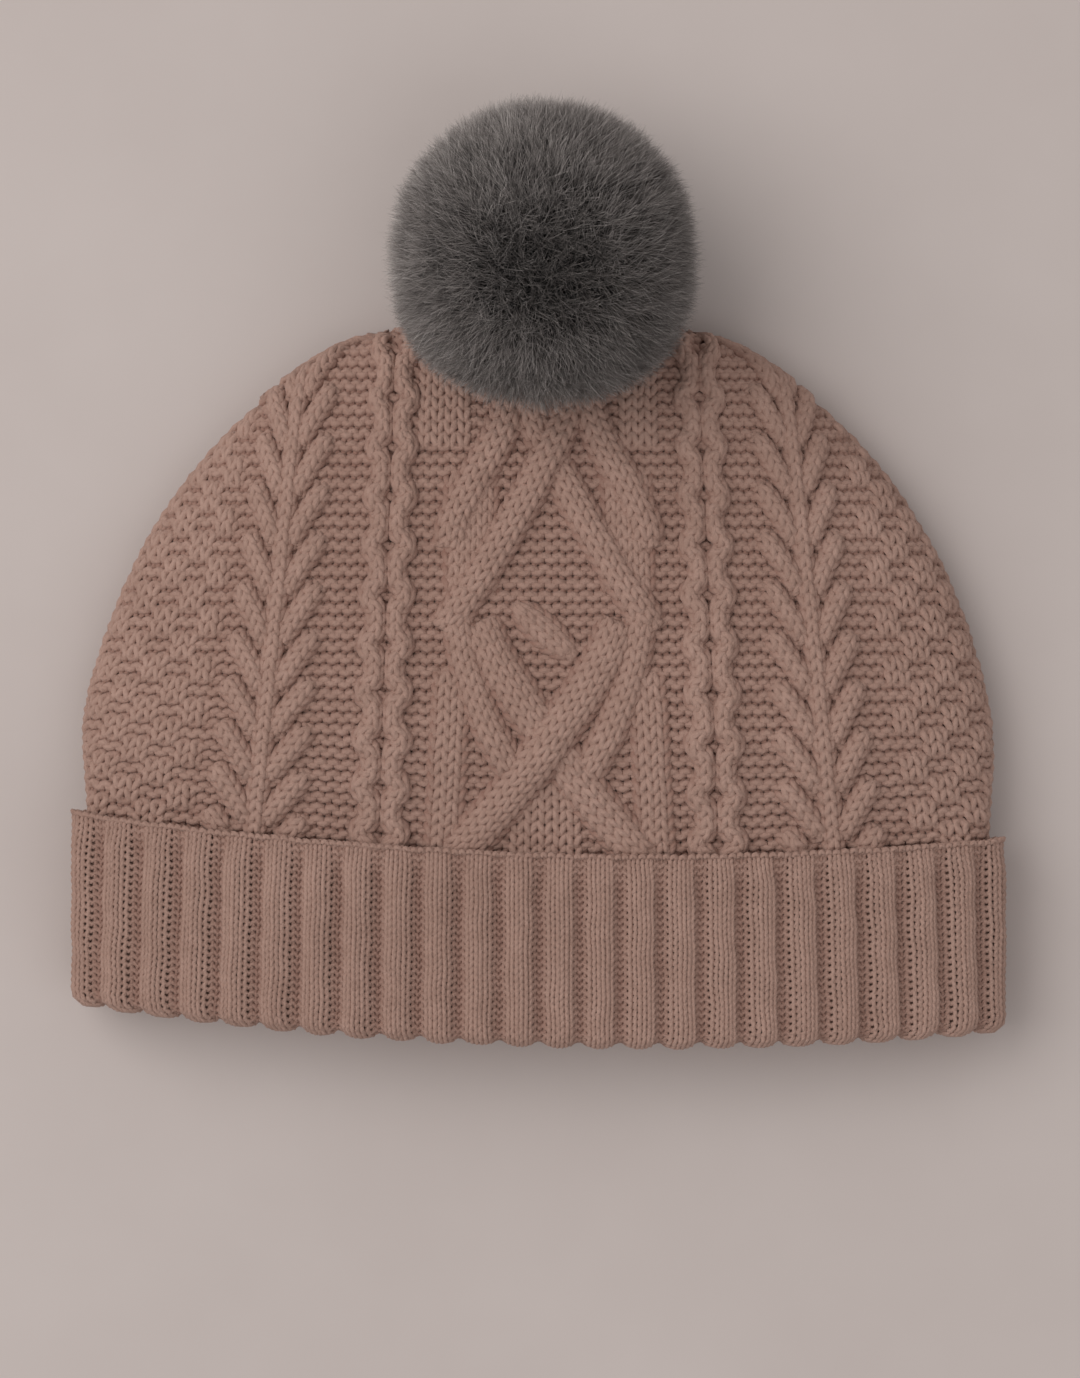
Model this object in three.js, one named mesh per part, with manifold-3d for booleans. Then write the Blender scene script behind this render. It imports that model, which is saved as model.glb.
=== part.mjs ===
// Pom pom beanie, lying flat: a cable-knit crown, a turned-up rib cuff and a pom pom on a press stud.
// Millimetres. +Z is up from the table, +Y runs from the cuff to the top of the crown, +X is to the right.
// Heights along the hat (y) are worked out from the cuff's lowest edge; the whole hat is centred at the end.

import * as THREE from 'three';
import { mergeVertices } from 'three/addons/utils/BufferGeometryUtils.js';
import Module from 'manifold-3d';

// Driving dimensions of the knitting
const CUFF_HALF_WIDTH = 120;
const CUFF_HEIGHT = 48.6;
const CUFF_MID = 14.8; // height of the side folds of the cuff above the table
const RIB_THICKNESS = 4;
const CROWN_HALF_WIDTH = 118;
const CROWN_STRAIGHT_TO = 63; // the sides are straight up to here, then they follow half an ellipse
const CROWN_ARC_HEIGHT = 129;
const CROWN_BOTTOM = 50.5;
const CROWN_FULL_AT = 82; // by this height the section has swelled from the band's to the crown's
const CROWN_MID = 9; // height of the crown's side seam above the table
const CROWN_RISE = 22;
const CROWN_DROP = 9.8;
const CROWN_THICKNESS = 4.4;
const FLAT_EXTRA = 0.6; // how far a flattened underside would dip below the table, if the table weren't there
const GAP = 0.3;
const EDGE_BOW = 7.2; // the cuff's edges curve down in the middle
const EDGE_TILT = 3.6; // and the left end lies a little higher than the right
const BOW_FADES_FROM = 50;
const BOW_GONE_AT = 110;

// Driving dimensions of the press stud and the pom pom
const STUD_Y = 183;
const STUD_X = 0.5;
const STUD_R = 5.5;
const PRONG_R = 1.2;
const SOCKET_TOP = 4.6; // above the knitting, along the stud's axis
const NECK_AT = 5.4; // where the thread shank starts to bend
const SHANK_LENGTH = 4;
const SHANK_R = 1.3;
const POM_CENTRE = new THREE.Vector3(1.3, 201.4, 37.9);
const POM_R = 37.5;
const POM_CORE_R = 14;
const BACKING_R = 8;
const BACKING_THICKNESS = 1;
const FUR_LIFT_DEG = 35; // slope of the fur's parting over the crown, so that the pom pom can nod
const FUR_PARTING_Y = 200.5; // the fur passes the crown's tip here

const AROUND = 44;

// How square each flattened section is: the power of the width, then the root of the height
const FRONT_SQUARENESS = 2.6;
const BACK_SQUARENESS = 4;
const CROWN_TOP_POWER = 3;
const CROWN_TOP_ROOT = 2.2;
const CROWN_UNDER_POWER = 5;
const CROWN_UNDER_ROOT = 2.5;

// Labels on the inside of the back band: width, length, middle and lower end
const LABEL_THICKNESS = 0.6;
const CARE_LABEL = [24, 36, -60, 8];
const SIZE_LABEL = [12, 14, -36, 30];
const STITCH_LINE = { length: 30, width: 1, height: 0.7, x: -60, y: 43 };

const X_AXIS = new THREE.Vector3(1, 0, 0);
const Y_AXIS = new THREE.Vector3(0, 1, 0);

const wasm = await Module();
wasm.setup();

const WOOL = { color: 0xbca297, roughness: 0.95, metalness: 0 };
const WOOL_DEEP = { color: 0xab8f85, roughness: 0.95, metalness: 0 };
const FUR = { color: 0x77716d, roughness: 0.9, metalness: 0 };
const FELT = { color: 0x8d8682, roughness: 1, metalness: 0 };
const METAL = { color: 0xb8b2a6, roughness: 0.35, metalness: 1 };
const SATIN = { color: 0xf0ece6, roughness: 0.6, metalness: 0 };
const THREAD = { color: 0x9a8279, roughness: 0.8, metalness: 0 };

const beanie = new THREE.Group();

// ---- helpers ----

function addPart(name, geometry, finish) {
  const mesh = new THREE.Mesh(geometry, new THREE.MeshStandardMaterial(finish));
  mesh.name = name;
  beanie.add(mesh);
  return mesh;
}

function mix(a, b, t) {
  return a + (b - a) * t;
}

function signedPower(value, exponent) {
  return Math.sign(value) * Math.abs(value) ** exponent;
}

// Superellipse height at a share s of the half width.
function arch(s, power, root) {
  return Math.max(0, 1 - Math.abs(s) ** power) ** (1 / root);
}

function signedVolume(points, triangles) {
  let sum = 0;
  for (const [a, b, c] of triangles) {
    sum += points[a].dot(new THREE.Vector3().crossVectors(points[b], points[c]));
  }
  return sum / 6;
}

// A closed body from its points and triangles, turned so that its faces point out.
function closedBody(points, triangles) {
  const inward = signedVolume(points, triangles) < 0;
  const index = triangles.flatMap(([a, b, c]) => (inward ? [a, c, b] : [a, b, c]));
  const geometry = new THREE.BufferGeometry();
  geometry.setAttribute('position', new THREE.Float32BufferAttribute(points.flatMap((p) => p.toArray()), 3));
  geometry.setIndex(index);
  geometry.computeVertexNormals();
  return geometry;
}

function quad(a, b, c, d) {
  return [[a, b, c], [a, c, d]];
}

function toSolid(geometry) {
  const bare = geometry.clone();
  bare.deleteAttribute('normal');
  bare.deleteAttribute('uv');
  const merged = mergeVertices(bare, 1e-4);
  const vertProperties = new Float32Array(merged.attributes.position.array);
  const triVerts = new Uint32Array(merged.index.array);
  return new wasm.Manifold(new wasm.Mesh({ numProp: 3, vertProperties, triVerts }));
}

function fromSolid(solid) {
  const mesh = solid.getMesh();
  const geometry = new THREE.BufferGeometry();
  geometry.setAttribute('position', new THREE.BufferAttribute(new Float32Array(mesh.vertProperties), 3));
  geometry.setIndex(new THREE.BufferAttribute(new Uint32Array(mesh.triVerts), 1));
  geometry.computeVertexNormals();
  return geometry;
}

function subtract(geometry, cutter) {
  return fromSolid(toSolid(geometry).subtract(toSolid(cutter)));
}

// Turns a geometry made along +Y so that it runs along a direction, from a start point.
function standOn(geometry, start, direction) {
  const turn = new THREE.Quaternion().setFromUnitVectors(Y_AXIS, direction);
  geometry.applyQuaternion(turn);
  geometry.translate(start.x, start.y, start.z);
  return geometry;
}

function lathe(profile, segments) {
  return new THREE.LatheGeometry(profile.map(([r, y]) => new THREE.Vector2(r, y)), segments);
}

// ---- the knitting's shape ----

// The cuff's edges, and the stitch rows near them, bow and tilt in the plane of the table.
function bowed(point) {
  const share = point.x / CUFF_HALF_WIDTH;
  const bow = EDGE_BOW * share * share - EDGE_TILT * share;
  const faded = 1 - THREE.MathUtils.smoothstep(point.y, BOW_FADES_FROM, BOW_GONE_AT);
  return new THREE.Vector3(point.x, point.y + bow * faded, point.z);
}

// A point of the flattened cuff tube: inset is how deep it lies under the cuff's outer face.
function cuffPoint(angle, inset, y) {
  const above = Math.sin(angle) >= 0;
  const exponent = 2 / (above ? FRONT_SQUARENESS : BACK_SQUARENESS);
  const x = (CUFF_HALF_WIDTH - inset) * signedPower(Math.cos(angle), exponent);
  const half = CUFF_MID - inset + (above ? 0 : FLAT_EXTRA);
  const z = CUFF_MID + half * signedPower(Math.sin(angle), exponent);
  return bowed(new THREE.Vector3(x, y, Math.max(inset, z)));
}

// A tube around the hat. The profile is a closed loop of [inset, y].
function cuffRing(profile) {
  const points = [];
  const triangles = [];
  const loop = profile.length;
  for (let i = 0; i < AROUND; i += 1) {
    const angle = (i / AROUND) * 2 * Math.PI;
    for (const [inset, y] of profile) {
      points.push(cuffPoint(angle, inset, y));
    }
  }
  for (let i = 0; i < AROUND; i += 1) {
    const next = (i + 1) % AROUND;
    for (let j = 0; j < loop; j += 1) {
      const k = (j + 1) % loop;
      triangles.push(...quad(i * loop + j, i * loop + k, next * loop + k, next * loop + j));
    }
  }
  return closedBody(points, triangles);
}

// A point of the crown. s is the share of the half width, q the share of the arc's height (or below 0
// for the straight part), inset the depth under the outer face, and side +1 for the front, -1 for the back.
function crownPoint(s, q, inset, side) {
  const rise = Math.max(0, q);
  const y = q < 0
    ? mix(CROWN_STRAIGHT_TO, CROWN_BOTTOM, -q)
    : CROWN_STRAIGHT_TO + (CROWN_ARC_HEIGHT - inset) * q;
  const swell = THREE.MathUtils.smoothstep(y, CROWN_BOTTOM, CROWN_FULL_AT);
  const bandInset = RIB_THICKNESS + GAP + inset;
  const halfWidth = mix(CUFF_HALF_WIDTH - bandInset, CROWN_HALF_WIDTH - inset, swell);
  const x = halfWidth * s * Math.sqrt(1 - rise * rise);
  const edge = Math.min(1, Math.sqrt(s * s * (1 - rise * rise) + rise * rise));
  const apart = side * GAP / 2;
  let z;
  if (side > 0) {
    const band = CUFF_MID + (CUFF_MID - bandInset) * arch(s, FRONT_SQUARENESS, FRONT_SQUARENESS);
    const crown = CROWN_MID + (CROWN_RISE - inset) * arch(edge, CROWN_TOP_POWER, CROWN_TOP_ROOT);
    z = mix(band, crown, swell) + apart;
  } else {
    const drop = CUFF_MID + FLAT_EXTRA - bandInset;
    const band = CUFF_MID - drop * arch(s, BACK_SQUARENESS, BACK_SQUARENESS);
    const crown = CROWN_MID - (CROWN_DROP - inset) * arch(edge, CROWN_UNDER_POWER, CROWN_UNDER_ROOT);
    z = Math.max(mix(bandInset, inset, swell), mix(band, crown, swell) + apart);
  }
  return bowed(new THREE.Vector3(x, y, z));
}

// One crown panel: an outer and an inner sheet, joined along the hem and the curved edge.
function crownPanel(side) {
  const columns = 20;
  const arcRows = 14;
  const rows = [-1, -0.7, -0.35];
  for (let k = 0; k < arcRows; k += 1) {
    rows.push(Math.sin((k / arcRows) * Math.PI / 2));
  }
  const points = [];
  const triangles = [];
  const at = (layer, row, column) => (layer * rows.length + row) * (columns + 1) + column;
  for (const inset of [0, CROWN_THICKNESS]) {
    for (const q of rows) {
      for (let i = 0; i <= columns; i += 1) {
        points.push(crownPoint(Math.sin((i / columns - 0.5) * Math.PI), q, inset, side));
      }
    }
  }
  const outerTip = points.push(crownPoint(0, 1, 0, side)) - 1;
  const innerTip = points.push(crownPoint(0, 1, CROWN_THICKNESS, side)) - 1;
  const last = rows.length - 1;
  for (let i = 0; i < columns; i += 1) {
    for (let row = 0; row < last; row += 1) {
      triangles.push(...quad(at(0, row, i), at(0, row, i + 1), at(0, row + 1, i + 1), at(0, row + 1, i)));
      triangles.push(...quad(at(1, row, i + 1), at(1, row, i), at(1, row + 1, i), at(1, row + 1, i + 1)));
    }
    triangles.push([at(0, last, i), at(0, last, i + 1), outerTip]);
    triangles.push([at(1, last, i + 1), at(1, last, i), innerTip]);
    triangles.push(...quad(at(0, 0, i + 1), at(0, 0, i), at(1, 0, i), at(1, 0, i + 1)));
  }
  for (let row = 0; row < last; row += 1) {
    triangles.push(...quad(at(0, row, 0), at(0, row + 1, 0), at(1, row + 1, 0), at(1, row, 0)));
    const next = row + 1;
    triangles.push(...quad(at(0, next, columns), at(0, row, columns), at(1, row, columns), at(1, next, columns)));
  }
  triangles.push(...quad(at(0, last, 0), outerTip, innerTip, at(1, last, 0)));
  triangles.push(...quad(outerTip, at(0, last, columns), at(1, last, columns), innerTip));
  return closedBody(points, triangles);
}

// ---- the press stud's place on the crown ----

const studRise = (STUD_Y - CROWN_STRAIGHT_TO) / CROWN_ARC_HEIGHT;
const studFoot = crownPoint(0, studRise, 0, 1);
const studAxis = (() => {
  const step = 0.01;
  const slope = crownPoint(0, studRise + step, 0, 1).sub(crownPoint(0, studRise - step, 0, 1));
  return new THREE.Vector3(0, -slope.z, slope.y).normalize();
})();
studFoot.x = STUD_X;
const neck = studFoot.clone().addScaledVector(studAxis, NECK_AT);
const pomAxis = POM_CENTRE.clone().sub(neck).normalize();
const pomFoot = neck.clone().addScaledVector(pomAxis, SHANK_LENGTH);
const pomDrop = POM_CENTRE.distanceTo(pomFoot);

function alongStud(from) {
  return studFoot.clone().addScaledVector(studAxis, from);
}

// ---- the hat body ----

function crownFrontPanel() {
  const prongHole = new THREE.CylinderGeometry(PRONG_R + GAP, PRONG_R + GAP, 3 * CROWN_THICKNESS, 12);
  return subtract(crownPanel(1), standOn(prongHole, studFoot, studAxis));
}

function cuffInnerBand() {
  const outer = RIB_THICKNESS + GAP;
  const inner = outer + RIB_THICKNESS;
  const low = RIB_THICKNESS + 2 * GAP;
  const high = CROWN_BOTTOM - GAP;
  return cuffRing([[outer, high], [outer, (low + high) / 2], [outer, low], [inner, low], [inner, high]]);
}

// The ridge of linked yarn on the inside, where the crown is joined to the band.
function cuffJoinSeam() {
  const face = RIB_THICKNESS + CROWN_THICKNESS + 2.4 * GAP;
  const mid = CROWN_BOTTOM;
  const ridge = [[0, -0.9], [0, 0.9], [0.9, 1.5], [1.6, 0], [0.9, -1.5]];
  return cuffRing(ridge.map(([depth, up]) => [face + depth, mid + up]));
}

// The ridge of linked yarn inside the curved edge, where the two crown panels are joined.
function crownSeam() {
  const ridgeR = 1.2;
  const inset = CROWN_THICKNESS + 2 * ridgeR;
  const path = [];
  for (let k = -18; k <= 18; k += 1) {
    const rise = Math.cos((k / 18) * Math.PI / 2);
    path.push(crownPoint(Math.sign(k) || 1, rise, inset, 1));
  }
  const section = new THREE.Shape().absarc(0, 0, ridgeR, 0, 2 * Math.PI);
  const extrudePath = new THREE.CatmullRomCurve3(path);
  return new THREE.ExtrudeGeometry(section, { steps: 60, curveSegments: 4, bevelEnabled: false, extrudePath });
}

// A blank satin label lying on the inside of the back band.
function label(width, length, x, bottom) {
  const geometry = new THREE.BoxGeometry(width, length, LABEL_THICKNESS);
  const z = 2 * (RIB_THICKNESS + GAP) + GAP + LABEL_THICKNESS / 2;
  const y = bottom + length / 2 + bowed(new THREE.Vector3(x, 0, 0)).y;
  geometry.translate(x, y, z);
  return geometry;
}

function labelStitching() {
  const { length, width, height, x, y } = STITCH_LINE;
  const stitches = new THREE.BoxGeometry(length, width, height);
  const z = 2 * (RIB_THICKNESS + GAP) + GAP + LABEL_THICKNESS + GAP + height / 2;
  stitches.translate(x, y + bowed(new THREE.Vector3(x, 0, 0)).y, z);
  return stitches;
}

function reinforcingFelt() {
  const top = -CROWN_THICKNESS - 1;
  const bottom = top - 1.2;
  const hole = PRONG_R + GAP;
  const rim = 6.2;
  const profile = [[hole, bottom], [rim, bottom], [rim, top], [hole, top], [hole, bottom]];
  return standOn(lathe(profile, 24), studFoot, studAxis);
}

// The hidden half of the press stud: a disc inside the hat, with a prong through the knitting.
function snapCap() {
  const top = -CROWN_THICKNESS - 2.5;
  const disc = [[0, top - 1.4], [4.2, top - 1.4], [5, top - 0.7], [5, top]];
  const profile = [...disc, [PRONG_R, top], [PRONG_R, 0.1], [0, 0.1]];
  return standOn(lathe(profile, 24), studFoot, studAxis);
}

function snapStud() {
  const flange = [[0, 0.4], [STUD_R, 0.4], [STUD_R, 0.9], [STUD_R - 0.6, 1.4]];
  const profile = [...flange, [1.8, 1.5], [1.7, 2.2], [2.2, 2.8], [1.9, 3.4], [0, 3.6]];
  return standOn(lathe(profile, 24), studFoot, studAxis);
}

// ---- the cuff that turns down ----

function cuffTurnUp() {
  const ply = RIB_THICKNESS;
  const footIn = 2 * ply + GAP;
  const footTop = ply + GAP;
  const fold = 3.4;
  return cuffRing([
    [0, CUFF_HEIGHT], [0, CUFF_HEIGHT / 2], [0, fold],
    [footIn * 0.15, 1.2], [footIn * 0.5, 0], [footIn * 0.85, 1.2],
    [footIn, fold], [footIn, footTop], [ply, footTop],
    [ply, CUFF_HEIGHT / 2], [ply, CUFF_HEIGHT],
  ]);
}

// The chain of cast-off stitches along the cuff's free edge.
function cuffCastOff() {
  const foot = CUFF_HEIGHT + GAP;
  const chain = [[0.5, 0], [0.1, 0.8], [0.8, 1.5], [2.8, 1.5], [3.6, 0.8], [3.3, 0]];
  return cuffRing(chain.map(([inset, up]) => [inset, foot + up]));
}

// ---- the pom pom ----

function snapSocket() {
  const mouth = 1.8;
  const roof = 3.9;
  const bore = 2.6;
  const shell = [[6, mouth], [6, 3.4], [4.8, SOCKET_TOP], [0, SOCKET_TOP]];
  const profile = [[0, roof], [bore, roof], [bore, mouth], ...shell];
  return standOn(lathe(profile, 24), studFoot, studAxis);
}

function threadShank() {
  const profile = [[0, 0.7], [SHANK_R, 0.7], [SHANK_R * 0.8, 2], [SHANK_R, 3.3], [0, 3.3]];
  return standOn(lathe(profile, 12), neck, pomAxis);
}

function pomBackingDisc() {
  const bottom = 0.7 - pomDrop;
  const top = bottom + BACKING_THICKNESS;
  return standOn(lathe([[0, bottom], [BACKING_R, bottom], [BACKING_R, top], [0, top]], 24), POM_CENTRE, pomAxis);
}

// The thread that draws the fur cover shut around its backing.
function pomDrawThread() {
  const thread = new THREE.TorusGeometry(7, 0.35, 6, 24);
  thread.rotateX(Math.PI / 2);
  thread.translate(0, 0.7 + BACKING_THICKNESS + GAP + 0.35 - pomDrop, 0);
  return standOn(thread, POM_CENTRE, pomAxis);
}

function pomFilling() {
  return new THREE.SphereGeometry(POM_CORE_R, 20, 14).translate(POM_CENTRE.x, POM_CENTRE.y, POM_CENTRE.z);
}

// The space that the crown's tip takes out of the fur, with room for the pom pom to nod and sway.
function crownParting() {
  const lift = Math.tan(THREE.MathUtils.degToRad(FUR_LIFT_DEG));
  const back = neck.y - 60;
  const outline = new THREE.Shape();
  outline.moveTo(back, -40);
  outline.lineTo(FUR_PARTING_Y, -40);
  outline.lineTo(FUR_PARTING_Y, neck.z - 6);
  outline.lineTo(neck.y + 3, neck.z - 0.5);
  outline.lineTo(back, neck.z - 0.5 + (neck.y + 3 - back) * lift);
  const wedge = new THREE.ExtrudeGeometry(outline, { depth: 120, bevelEnabled: false });
  wedge.translate(0, 0, -60);
  const stand = new THREE.Matrix4().makeBasis(Y_AXIS, new THREE.Vector3(0, 0, 1), X_AXIS);
  return wedge.applyMatrix4(stand);
}

// The cover of fur, as deep as its pile, around the filling and open at the base.
function pomFurCover() {
  const cavity = POM_CORE_R + GAP * 2;
  const channel = BACKING_R + GAP * 2;
  const base = -pomDrop - 4;
  const profile = [];
  const steps = 16;
  const rim = Math.acos(base / POM_R);
  for (let k = 0; k <= steps; k += 1) {
    const turn = (k / steps) * rim;
    profile.push([POM_R * Math.sin(turn), POM_R * Math.cos(turn)]);
  }
  profile.push([channel, base]);
  const mouth = Math.PI - Math.asin(channel / cavity);
  for (let k = 0; k <= 8; k += 1) {
    const turn = mix(mouth, 0, k / 8);
    profile.push([cavity * Math.sin(turn), cavity * Math.cos(turn)]);
  }
  profile[0][0] = 0;
  profile[profile.length - 1][0] = 0;
  const cover = lathe(profile.reverse(), 28);
  return subtract(standOn(cover, POM_CENTRE, pomAxis), crownParting());
}

// ---- assembly ----

addPart('crown_front_panel', crownFrontPanel(), WOOL);
addPart('crown_back_panel', crownPanel(-1), WOOL);
addPart('crown_seam', crownSeam(), WOOL_DEEP);
addPart('cuff_inner_band', cuffInnerBand(), WOOL);
addPart('cuff_join_seam', cuffJoinSeam(), WOOL_DEEP);
addPart('care_label', label(...CARE_LABEL), SATIN);
addPart('size_label', label(...SIZE_LABEL), SATIN);
addPart('label_stitching', labelStitching(), THREAD);
addPart('reinforcing_felt', reinforcingFelt(), FELT);
addPart('snap_cap', snapCap(), METAL);
addPart('snap_stud', snapStud(), METAL);
addPart('cuff_turn_up', cuffTurnUp(), WOOL);
addPart('cuff_cast_off', cuffCastOff(), WOOL_DEEP);
addPart('snap_socket', snapSocket(), METAL);
addPart('thread_shank', threadShank(), THREAD);
addPart('pom_backing_disc', pomBackingDisc(), FELT);
addPart('pom_draw_thread', pomDrawThread(), THREAD);
addPart('pom_filling', pomFilling(), SATIN);
addPart('pom_fur_cover', pomFurCover(), FUR);

// The origin is under the middle of the whole hat, on the table.
const box = new THREE.Box3().setFromObject(beanie);
beanie.position.set(-(box.min.x + box.max.x) / 2, -(box.min.y + box.max.y) / 2, -box.min.z);

export default beanie;
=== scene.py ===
"""Pom pom beanie lying flat: every stitch of its cables and ribs, its faux-fur pom pom and its press stud."""

import math

import bpy
import numpy as np
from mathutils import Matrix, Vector


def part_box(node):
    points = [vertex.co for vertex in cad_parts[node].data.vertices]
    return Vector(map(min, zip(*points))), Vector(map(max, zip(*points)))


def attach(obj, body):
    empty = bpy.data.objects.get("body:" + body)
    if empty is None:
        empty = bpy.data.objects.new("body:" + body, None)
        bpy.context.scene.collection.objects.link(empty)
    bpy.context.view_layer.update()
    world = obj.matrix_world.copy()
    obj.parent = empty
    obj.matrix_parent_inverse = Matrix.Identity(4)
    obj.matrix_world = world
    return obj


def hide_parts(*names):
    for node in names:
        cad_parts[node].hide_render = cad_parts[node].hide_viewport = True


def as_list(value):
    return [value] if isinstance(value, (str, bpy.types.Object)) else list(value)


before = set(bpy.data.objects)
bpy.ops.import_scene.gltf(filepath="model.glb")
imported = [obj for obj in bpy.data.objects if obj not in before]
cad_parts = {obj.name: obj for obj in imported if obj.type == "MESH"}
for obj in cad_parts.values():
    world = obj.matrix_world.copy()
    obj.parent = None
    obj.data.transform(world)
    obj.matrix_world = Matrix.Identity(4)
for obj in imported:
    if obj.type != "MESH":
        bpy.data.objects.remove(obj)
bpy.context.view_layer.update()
rng = np.random.default_rng(7)

MM = 0.001

# The knitting's shape, in millimetres of hat height, as in the CAD source
CUFF_HALF_WIDTH = 120
CUFF_HEIGHT = 48.6
CUFF_MID = 14.8
RIB_INSET = 4.3  # the crown and the inner band lie this deep under the turn-up's face
CROWN_HALF_WIDTH = 118
CROWN_STRAIGHT_TO = 63
CROWN_ARC_HEIGHT = 129
CROWN_BOTTOM = 50.5
CROWN_FULL_AT = 82
CROWN_MID = 9
CROWN_RISE = 22
CROWN_DROP = 9.8
FLAT_EXTRA = 0.6
HALF_GAP = 0.15
EDGE_BOW = 7.2
EDGE_TILT = 3.6
BOW_FADES_FROM = 50
BOW_GONE_AT = 110
CROWN_TIP = CROWN_STRAIGHT_TO + CROWN_ARC_HEIGHT

# The row frame is the hat frame moved along y
SHIFT_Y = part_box("crown_front_panel")[1].y / MM - CROWN_TIP

# Gauge
WALE = 3.6
ROW = 3.2
YARN_R = 1.0
YARN_INSET = 1.7
CUFF_ROW = 1.8
CUFF_YARN_R = 0.7
CUFF_YARN_INSET = 1.6

MOST_TRIANGLES = 185000  # in one piece

# Camera and light, in metres and watts
CAMERA_HEIGHT = 1.4
CAMERA_LENS = 141.3
WINDOW_POWER = 22.5
FILL_POWER = 2.5
SKY_STRENGTH = 0.44


# ---- arithmetic ----


def mix(a, b, t):
    return a + (b - a) * t


def smoothstep(x, low, high):
    t = np.clip((x - low) / (high - low), 0, 1)
    return t * t * (3 - 2 * t)


def signed_power(value, exponent):
    return np.sign(value) * np.abs(value) ** exponent


def arch(s, power, root):
    return np.maximum(0, 1 - np.abs(s) ** power) ** (1 / root)


def unit(v):
    return v / np.maximum(np.linalg.norm(v, axis=-1, keepdims=True), 1e-9)


def wobble(x, y, seed, size=1.0):
    """A smooth irregular field between about -1 and 1, with waves of a few millimetres times size."""
    dice = np.random.default_rng(seed)
    total = 0
    for _ in range(5):
        wave = dice.uniform(5, 16) * size
        turn = dice.uniform(0, 2 * math.pi)
        along = x * math.cos(turn) + y * math.sin(turn)
        total = total + np.sin(2 * math.pi * along / wave + dice.uniform(0, 2 * math.pi))
    return total / 2.6


def bow(x, y):
    share = x / CUFF_HALF_WIDTH
    lift = EDGE_BOW * share * share - EDGE_TILT * share
    return lift * (1 - smoothstep(y, BOW_FADES_FROM, BOW_GONE_AT))


def to_row(points):
    """Hat frame in millimetres to the row frame in metres."""
    return (np.asarray(points, float) + np.array([0, SHIFT_Y, 0])) * MM


# ---- the crown's surface ----


def crown_point(theta, height, inset, side):
    rise = np.clip((height - CROWN_STRAIGHT_TO) / (CROWN_ARC_HEIGHT - inset), 0, 1)
    swell = smoothstep(height, CROWN_BOTTOM, CROWN_FULL_AT)
    band_inset = RIB_INSET + inset
    half = mix(CUFF_HALF_WIDTH - band_inset, CROWN_HALF_WIDTH - inset, swell)
    s = np.sin(theta)
    x = half * s * np.sqrt(1 - rise**2)
    edge = np.minimum(1, np.sqrt(s**2 * (1 - rise**2) + rise**2))
    if side > 0:
        band = CUFF_MID + (CUFF_MID - band_inset) * arch(s, 2.6, 2.6)
        crown = CROWN_MID + (CROWN_RISE - inset) * arch(edge, 3, 2.2)
        z = mix(band, crown, swell) + HALF_GAP
    else:
        band = CUFF_MID - (CUFF_MID + FLAT_EXTRA - band_inset) * arch(s, 4, 4)
        crown = CROWN_MID - (CROWN_DROP - inset) * arch(edge, 5, 2.5)
        lowest = mix(band_inset, inset, swell)
        z = np.maximum(lowest, mix(band, crown, swell) - HALF_GAP)
    return np.stack([x, height + bow(x, height), z + 0 * x], -1)


class CrownSurface:
    """One crown panel as a sheet with arc length across (u) and hat height up (v)."""

    HEIGHTS = np.arange(46, CROWN_TIP - 1.5, 1.5)

    def __init__(self, side):
        self.side = side
        theta = np.linspace(-math.pi / 2, math.pi / 2, 301)
        self.share = np.linspace(-1, 1, 161)
        self.table, reach = [], []
        for height in self.HEIGHTS:
            line = crown_point(theta, np.full_like(theta, height), YARN_INSET, side)
            steps = np.linalg.norm(np.diff(line[:, [0, 2]], axis=0), axis=1)
            arc = np.concatenate([[0], np.cumsum(steps)])
            reach.append(arc[-1] / 2)
            self.table.append(np.interp(self.share, arc / arc[-1] * 2 - 1, theta))
        self.table = np.array(self.table)
        self.reach_at = np.array(reach)

    def reach(self, v):
        return np.interp(v, self.HEIGHTS, self.reach_at)

    def place(self, u, v):
        v = np.clip(v, self.HEIGHTS[0], self.HEIGHTS[-1])
        share = np.clip(u / self.reach(v), -1, 1)
        row = (v - self.HEIGHTS[0]) / 1.5
        column = (share + 1) / 2 * (len(self.share) - 1)
        r0 = np.minimum(row.astype(int), len(self.HEIGHTS) - 2)
        c0 = np.minimum(column.astype(int), len(self.share) - 2)
        fr, fc = row - r0, column - c0
        t = self.table
        theta = mix(mix(t[r0, c0], t[r0, c0 + 1], fc), mix(t[r0 + 1, c0], t[r0 + 1, c0 + 1], fc), fr)
        return crown_point(theta, v, YARN_INSET, self.side)

    def __call__(self, u, v, lift):
        step = 0.7
        across = self.place(u + step, v) - self.place(u - step, v)
        up = self.place(u, v + step) - self.place(u, v - step)
        normal = unit(np.cross(across, up)) * self.side
        return self.place(u, v) + normal * lift[:, None], normal


# ---- yarn ----


def stitch_line(kinds, loop, lean, depth, samples):
    """One row of stitches. kinds is +1 for a knit and -1 for a purl stitch.
    Gives x in wales, y and z in millimetres, and how far each point is inside its own stitch."""
    count = len(kinds)
    t = np.linspace(-math.pi, math.pi, samples + 1)[:-1]
    turn = np.concatenate([np.tile(t, count), [-math.pi]])
    index = np.concatenate([np.repeat(np.arange(count), samples), [count]])
    facing = np.asarray(kinds, float)[np.minimum(index, count - 1)]
    starts = np.arange(1, count) * samples
    facing[starts] = (facing[starts - 1] + facing[starts + 1]) / 2
    x = index + 0.5 + turn / (2 * math.pi) + lean * np.sin(2 * turn)
    y = loop * np.cos(turn)
    z = -facing * depth * np.cos(2 * turn)
    return x, y, z


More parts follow.
